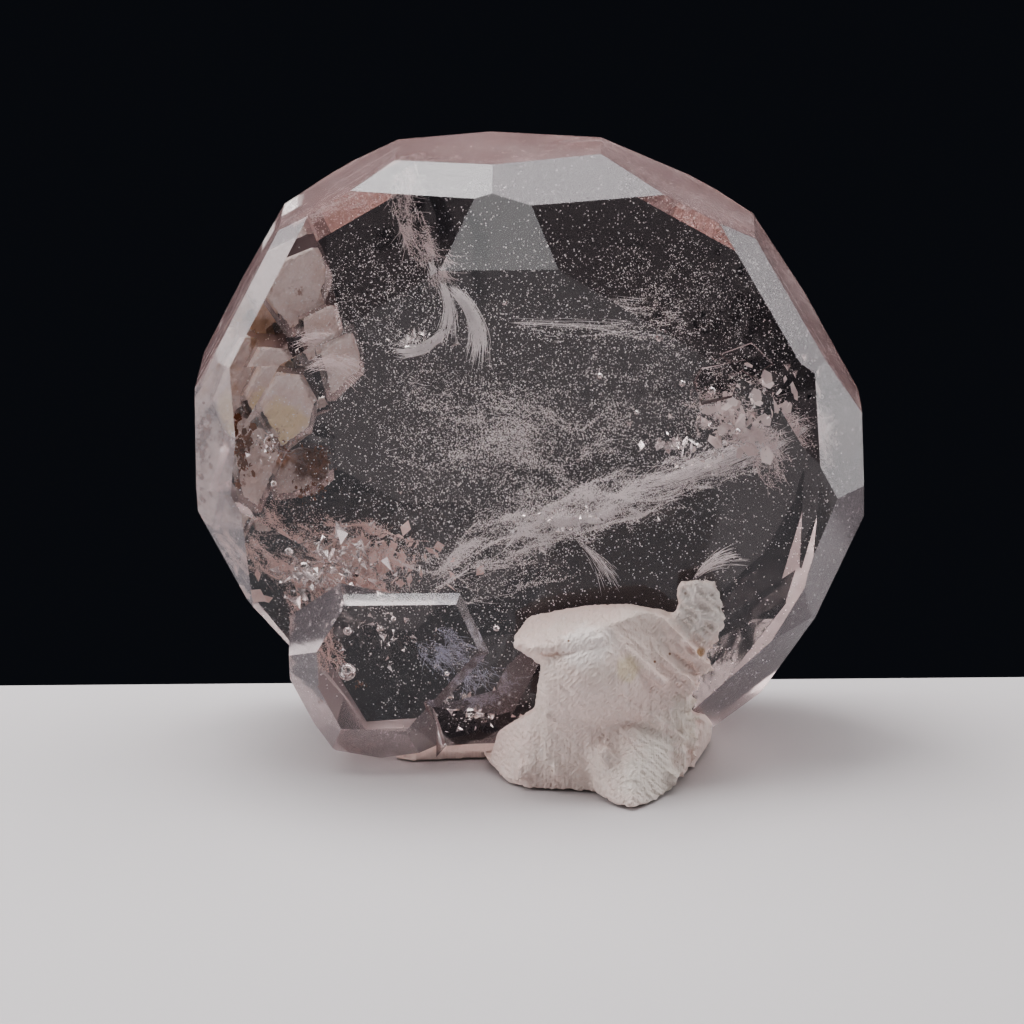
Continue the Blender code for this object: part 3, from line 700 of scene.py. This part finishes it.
def inside(place, skin=SKIN):
    """Whether a place in millimetres is inside the main crystal and clear of the albite."""
    x, y, z = place
    if (NORMALS @ np.array((x, y, z)) > DISTANCES - skin).any():
        return False
    by_albite = z < ALBITE_TOP and ALBITE_LEFT < x < ALBITE_RIGHT and y < ALBITE_BACK
    return x * x + z * z < CLEAR_RADIUS ** 2 and not by_albite


def any_direction(spread):
    return Vector((spread.gauss(0, 1), spread.gauss(0, 1), spread.gauss(0, 1))).normalized()


def dust_points(count, seed):
    """Places for specks, thicker where a slow noise is high and in the middle of the crystal."""
    spread = random.Random(seed)
    found = []
    while len(found) < count:
        place = Vector((spread.uniform(-27, 27), spread.uniform(-10, 7), spread.uniform(-22, 26)))
        if not inside(place):
            continue
        cloud = noise.fractal(Vector((place.x, place.y * 1.5, place.z)) * 0.16, 1.0, 2.0, 3)
        middle = math.exp(-((place.x + 1.0) ** 2 + (place.z - 2.0) ** 2) / 240.0)
        if spread.random() < 0.15 + 0.5 * middle + 0.6 * cloud:
            found.append(world(*place))
    return found


def cloud_points(seed):
    """Finer specks gathered in clouds and threads."""
    spread = random.Random(seed)
    found = []
    for centre, reach, count in CLOUDS:
        goal = len(found) + count
        while len(found) < goal:
            place = Vector([middle + spread.gauss(0, 0.6) * size for middle, size in zip(centre, reach)])
            threads = abs(noise.noise(place * 0.34)) + 0.5 * abs(noise.noise(place * 0.9))
            if spread.random() < math.exp(-threads * 9.0) and inside(place):
                found.append(world(*place))
    return found


def on_path(path, share):
    """A place on a path of straight stretches, and the way it runs there."""
    reach = share * (len(path) - 1)
    stretch = min(int(reach), len(path) - 2)
    first, second = Vector(path[stretch]), Vector(path[stretch + 1])
    return first.lerp(second, reach - stretch), (second - first).normalized()


def veil_places(path, across, ripple, count, spread, seed):
    """Places on a rippled sheet, gathered in streaks that thin out towards its edges."""
    noise.seed_set(seed)
    across = Vector(across)
    found = []
    while len(found) < count:
        share, side = spread.random(), spread.uniform(-1, 1)
        streak = noise.fractal(Vector((share * 5.0 + side * 0.8, side * 3.4, seed * 3.7)), 0.9, 2.0, 4)
        fade = (1.0 - abs(side) ** 1.5) * (1.0 - abs(2.0 * share - 1.0) ** 3)
        if spread.random() > fade * (0.12 + 2.0 * max(streak, 0.0)):
            continue
        place, heading = on_path(path, share)
        wave = Vector(noise.noise_vector(Vector((share * 6.0, side * 2.0, seed * 1.3))))
        place = place + across * side + wave * ripple
        if inside(place):
            found.append((place, heading))
    return found


def veil_strands(starts, across, spread):
    """Short curved strands that fan out from the way a veil runs."""
    across = Vector(across).normalized()
    lines = []
    for place, heading in starts:
        way = (heading + across * spread.gauss(0.15, 0.6) + any_direction(spread) * 0.2).normalized()
        reach = spread.uniform(0.3, 2.2) * spread.random() + 0.2
        bend = across * spread.gauss(0, 0.22) * reach
        lines.append([place + way * reach * part + bend * part * part for part in STRAND_SHARES])
    return lines


def tuft_lines(start, end, narrow, wide, bow, count, spread):
    """Strands that each follow a part of the way from one end of a bundle to the other."""
    start, end, bow = Vector(start), Vector(end), Vector(bow)
    lines = []
    for _ in range(count):
        root = start + any_direction(spread) * narrow * spread.random()
        tip = end + any_direction(spread) * wide * spread.random() ** 0.6
        first = spread.uniform(0.0, 0.7)
        last = min(1.0, first + spread.uniform(0.12, 0.45))
        line = []
        for part in STRAND_SHARES:
            share = first + (last - first) * part
            line.append(root.lerp(tip, share) + bow * 4.0 * share * (1.0 - share))
        lines.append(line)
    return lines


def fine_copy(node, name, cell, rounds):
    """A closed, evenly meshed and softened copy of a CAD node."""
    bm = bmesh.new()
    bm.from_mesh(frame["nodes"][node].data)
    bmesh.ops.remove_doubles(bm, verts=bm.verts, dist=1e-6)
    mesh = bpy.data.meshes.new(name)
    bm.to_mesh(mesh)
    bm.free()
    piece = bpy.data.objects.new(name, mesh)
    bpy.context.scene.collection.objects.link(piece)
    even = piece.modifiers.new("even", "REMESH")
    even.mode, even.voxel_size = "VOXEL", cell
    soft = piece.modifiers.new("soft", "SMOOTH")
    soft.factor, soft.iterations = 0.5, rounds
    bpy.context.view_layer.update()
    graph = bpy.context.evaluated_depsgraph_get()
    made = bpy.data.meshes.new_from_object(piece.evaluated_get(graph))
    piece.modifiers.clear()
    piece.data = made
    return piece


def raised(piece, height):
    """Moves each vertex along its normal by a height that depends on its place, never below the ground."""
    places = []
    for vert in piece.data.vertices:
        place = Vector(vert.co) / MM - CENTRE
        places.append(vert.co + vert.normal * height(place, vert.normal) * MM)
    for vert, place in zip(piece.data.vertices, places):
        place.z = max(place.z, 0.0)
        vert.co = place
    piece.data.update()


def bell(value, middle, reach):
    """1 at the middle, and 0 from the reach on."""
    share = min(abs(value - middle) / reach, 1.0)
    return (1.0 - share * share) ** 2


def lump_height(place, normal):
    """Cleavage steps and slanting growth lines on the albite, in millimetres."""
    across = place.x * 0.66 + place.z * 0.75 + place.y * 0.2
    along = place.x * 0.75 - place.z * 0.66
    step = across * 0.62 + along * 0.12 + noise.noise(place * 0.35) * 1.5
    terrace = (step - math.floor(step)) * 0.09
    small_step = across * 2.3 + noise.noise(place * 0.8) * 1.2
    small_terrace = (small_step - math.floor(small_step)) * 0.06
    lines = noise.noise(Vector((across * 5.0, along * 0.3, place.y * 0.4))) * 0.07
    grit = noise.fractal(place * 3.4, 0.8, 2.0, 3) * 0.05
    edge = min(max((place.x - 11.0) / 3.0, 0.0), 1.0)
    teeth = abs(noise.noise(Vector((across * 1.4, along * 0.6, 3.0)))) * 0.8 * edge
    free = min(max((-place.y - 10.0) / 2.0, 0.15), 1.0)
    belly = bell(place.x, 5.0, 6.5) * bell(place.z, -15.0, 5.0) * max(-normal.y, 0.0) * 1.7
    return (lines + grit + belly - terrace - small_terrace - teeth) * free


def crust_height(place, normal):
    """Uneven, pitted skin of the crust, in millimetres: it only sinks, so it stays clear of the crystal."""
    lumps = abs(noise.noise(place * 0.8)) * 0.45
    pits = abs(noise.fractal(place * 2.6, 0.8, 2.0, 3)) * 0.22
    return -(lumps + pits)


class DressCrystal(Operator):
    """Gives the clear crystal its finish"""

    bl_idname = "morganite.dress_crystal"
    bl_label = "Crystal"

    def execute(self, context):
        dress_node("morganite_crystal", crystal_finish(context.scene.morganite_look))
        return {"FINISHED"}


class AddDust(Operator):
    """Fills the crystal with fine specks and thinner clouds of them"""

    bl_idname = "morganite.add_dust"
    bl_label = "Dust"

    def execute(self, context):
        look = context.scene.morganite_look
        scattered(
            "crystal_dust", dust_points(look.dust_count, DUST_SEED), "white_grains",
            Largest_Width=look.dust_size, Smallest_Share=0.2, Seed=3,
        )
        scattered(
            "crystal_clouds", cloud_points(CLOUD_SEED), "white_grains",
            Largest_Width=look.dust_size * 0.62, Smallest_Share=0.4, Seed=5,
        )
        return {"FINISHED"}


class AddVeils(Operator):
    """Hangs the cloudy veils of specks and strands in the crystal"""

    bl_idname = "morganite.add_veils"
    bl_label = "Veils"

    def execute(self, context):
        look = context.scene.morganite_look
        for seed, (name, veil) in enumerate(VEILS.items(), VEIL_SEED):
            path, across, ripple, specks, strands, finish = veil
            spread = random.Random(seed)
            places = veil_places(path, across, ripple, specks, spread, seed)
            scattered(
                name, [world(*place) for place, _ in places], finish, Largest_Width=look.dust_size * 0.7,
                Smallest_Share=0.35, Seed=seed,
            )
            starts = veil_places(path, across, ripple, strands, spread, seed)
            stranded(name + "_strands", veil_strands(starts, across, spread), finish, Width=look.strand_width)
        return {"FINISHED"}


class AddTufts(Operator):
    """Adds the bundles of white strands"""

    bl_idname = "morganite.add_tufts"
    bl_label = "Tufts"

    def execute(self, context):
        for seed, (name, tuft) in enumerate(TUFTS.items(), TUFT_SEED):
            start, end, narrow, wide, bow, count, width, finish = tuft
            lines = tuft_lines(start, end, narrow, wide, bow, count, random.Random(seed))
            stranded(name, lines, finish, Width=width * MM)
        return {"FINISHED"}


class AddFlakes(Operator):
    """Adds glinting cracks, chips and iron stains"""

    bl_idname = "morganite.add_flakes"
    bl_label = "Flakes"

    def execute(self, context):
        for seed, (name, group) in enumerate(FLAKES.items(), FLAKE_SEED):
            centre, reach, count, width, flatness, sides, finish = group
            spread = random.Random(seed)
            points = []
            while len(points) < count:
                place = [middle + spread.gauss(0, 0.5) * size for middle, size in zip(centre, reach)]
                if inside(place, CHIP_SKIN) or finish == "brown":
                    points.append(world(*place))
            scattered(
                name, points, finish, Largest_Width=width * MM, Smallest_Share=0.25, Flatness=flatness,
                Narrowness=0.2, Sides=sides, Seed=seed,
            )
        return {"FINISHED"}


class AddBubbles(Operator):
    """Adds the gas bubbles"""

    bl_idname = "morganite.add_bubbles"
    bl_label = "Bubbles"

    def execute(self, context):
        bm = bmesh.new()
        for place, radius in BUBBLES:
            ball = Matrix.Translation(world(*place))
            bmesh.ops.create_icosphere(bm, subdivisions=3, radius=radius * MM, matrix=ball)
        mesh = bpy.data.meshes.new("gas_bubbles")
        bm.to_mesh(mesh)
        bm.free()
        piece = bpy.data.objects.new("gas_bubbles", mesh)
        context.scene.collection.objects.link(piece)
        finish_piece(piece, bubble_finish(context.scene.morganite_look), True)
        return {"FINISHED"}


class BuildLump(Operator):
    """Makes the lump of albite with its cleavage steps and growth lines"""

    bl_idname = "morganite.build_lump"
    bl_label = "Albite lump"

    def execute(self, context):
        look = context.scene.morganite_look
        piece = fine_copy("albite_matrix", "albite_lump", look.albite_cell, 5)
        raised(piece, lump_height)
        finish_piece(piece, albite_finish(look))
        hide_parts("albite_matrix")
        return {"FINISHED"}


class BuildCrust(Operator):
    """Makes the stained crust on the crystal's back"""

    bl_idname = "morganite.build_crust"
    bl_label = "Albite crust"

    def execute(self, context):
        look = context.scene.morganite_look
        piece = fine_copy("albite_blades", "albite_crust", look.albite_cell, 3)
        raised(piece, crust_height)
        finish_piece(piece, crust_finish())
        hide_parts("albite_blades")
        return {"FINISHED"}


class SetStage(Operator):
    """Makes the floor, the lights and the camera"""

    bl_idname = "morganite.set_stage"
    bl_label = "Stage"

    def soft_light(self, name, place, size, power):
        lamp = bpy.data.lights.new(name, "AREA")
        lamp.shape = "RECTANGLE"
        lamp.size, lamp.size_y = size
        lamp.energy = power
        made = bpy.data.objects.new(name, lamp)
        made.location = place
        made.rotation_mode = "QUATERNION"
        made.rotation_quaternion = (Vector(LIGHT_TARGET) - Vector(place)).to_track_quat("-Z", "Y")
        bpy.context.scene.collection.objects.link(made)

    def execute(self, context):
        look = context.scene.stage_look
        bm = bmesh.new()
        bmesh.ops.create_cube(bm, size=1.0)
        bmesh.ops.scale(bm, verts=bm.verts, vec=FLOOR_SIZE)
        bmesh.ops.translate(bm, verts=bm.verts, vec=(0.0, look.floor_back - FLOOR_SIZE[1] / 2, -FLOOR_DROP))
        bmesh.ops.bevel(bm, geom=bm.edges[:], offset=FLOOR_ROUNDING, segments=4, affect="EDGES")
        mesh = bpy.data.meshes.new("floor")
        bm.to_mesh(mesh)
        bm.free()
        floor = bpy.data.objects.new("floor", mesh)
        context.scene.collection.objects.link(floor)
        floor.data.materials.append(floor_finish(look))

        for name, (place, size, share) in LIGHTS.items():
            self.soft_light(name, place, size, look.light * share)

        room = bpy.data.worlds.new("room")
        room.use_nodes = True
        backdrop = room.node_tree.nodes["Background"].inputs
        backdrop["Color"].default_value = (0.03, 0.034, 0.045, 1.0)
        backdrop["Strength"].default_value = 0.25
        context.scene.world = room

        lens = bpy.data.cameras.new("camera")
        lens.lens = look.lens
        lens.sensor_width = 36.0
        lens.shift_x, lens.shift_y = 0.0, -0.0015
        lens.clip_start, lens.clip_end = 0.01, 10.0
        camera = bpy.data.objects.new("camera", lens)
        pitch, yaw, roll = (math.radians(angle) for angle in CAMERA_ANGLES)
        ahead = Vector((math.sin(yaw) * math.cos(pitch), math.cos(yaw) * math.cos(pitch), -math.sin(pitch)))
        camera.rotation_mode = "QUATERNION"
        turn = Matrix.Rotation(roll, 4, ahead).to_quaternion()
        camera.rotation_quaternion = turn @ ahead.to_track_quat("-Z", "Y")
        camera.location = CAMERA_PLACE
        context.scene.collection.objects.link(camera)
        context.scene.camera = camera
        context.scene.view_settings.view_transform = "AgX"
        context.scene.view_settings.look = "AgX - Medium High Contrast"
        return {"FINISHED"}


class MorganitePanel(Panel):
    """Lists the pieces and their sizes"""

    bl_idname = "VIEW3D_PT_morganite"
    bl_label = "Morganite on albite"
    bl_space_type = "VIEW_3D"
    bl_region_type = "UI"
    bl_category = "Morganite"

    def draw(self, context):
        for group in (context.scene.morganite_look, context.scene.stage_look):
            for name in group.__annotations__:
                self.layout.prop(group, name)
        for step in STEPS:
            self.layout.operator(step.bl_idname)


STEPS = (
    SetStage, DressCrystal, AddDust, AddVeils, AddTufts, AddFlakes, AddBubbles, BuildLump, BuildCrust,
)
CLASSES = (MorganiteLook, StageLook, *STEPS, MorganitePanel)


def register():
    for made in CLASSES:
        bpy.utils.register_class(made)
    bpy.types.Scene.morganite_look = PointerProperty(type=MorganiteLook)
    bpy.types.Scene.stage_look = PointerProperty(type=StageLook)


def unregister():
    del bpy.types.Scene.stage_look
    del bpy.types.Scene.morganite_look
    for made in reversed(CLASSES):
        bpy.utils.unregister_class(made)


def main():
    register()
    for name in ("Cube", "Light", "Camera"):
        if name in bpy.data.objects:
            bpy.data.objects.remove(bpy.data.objects[name])
    for step in STEPS:
        group, action = step.bl_idname.split(".")
        getattr(getattr(bpy.ops, group), action)()


if __name__ == "__main__":
    main()
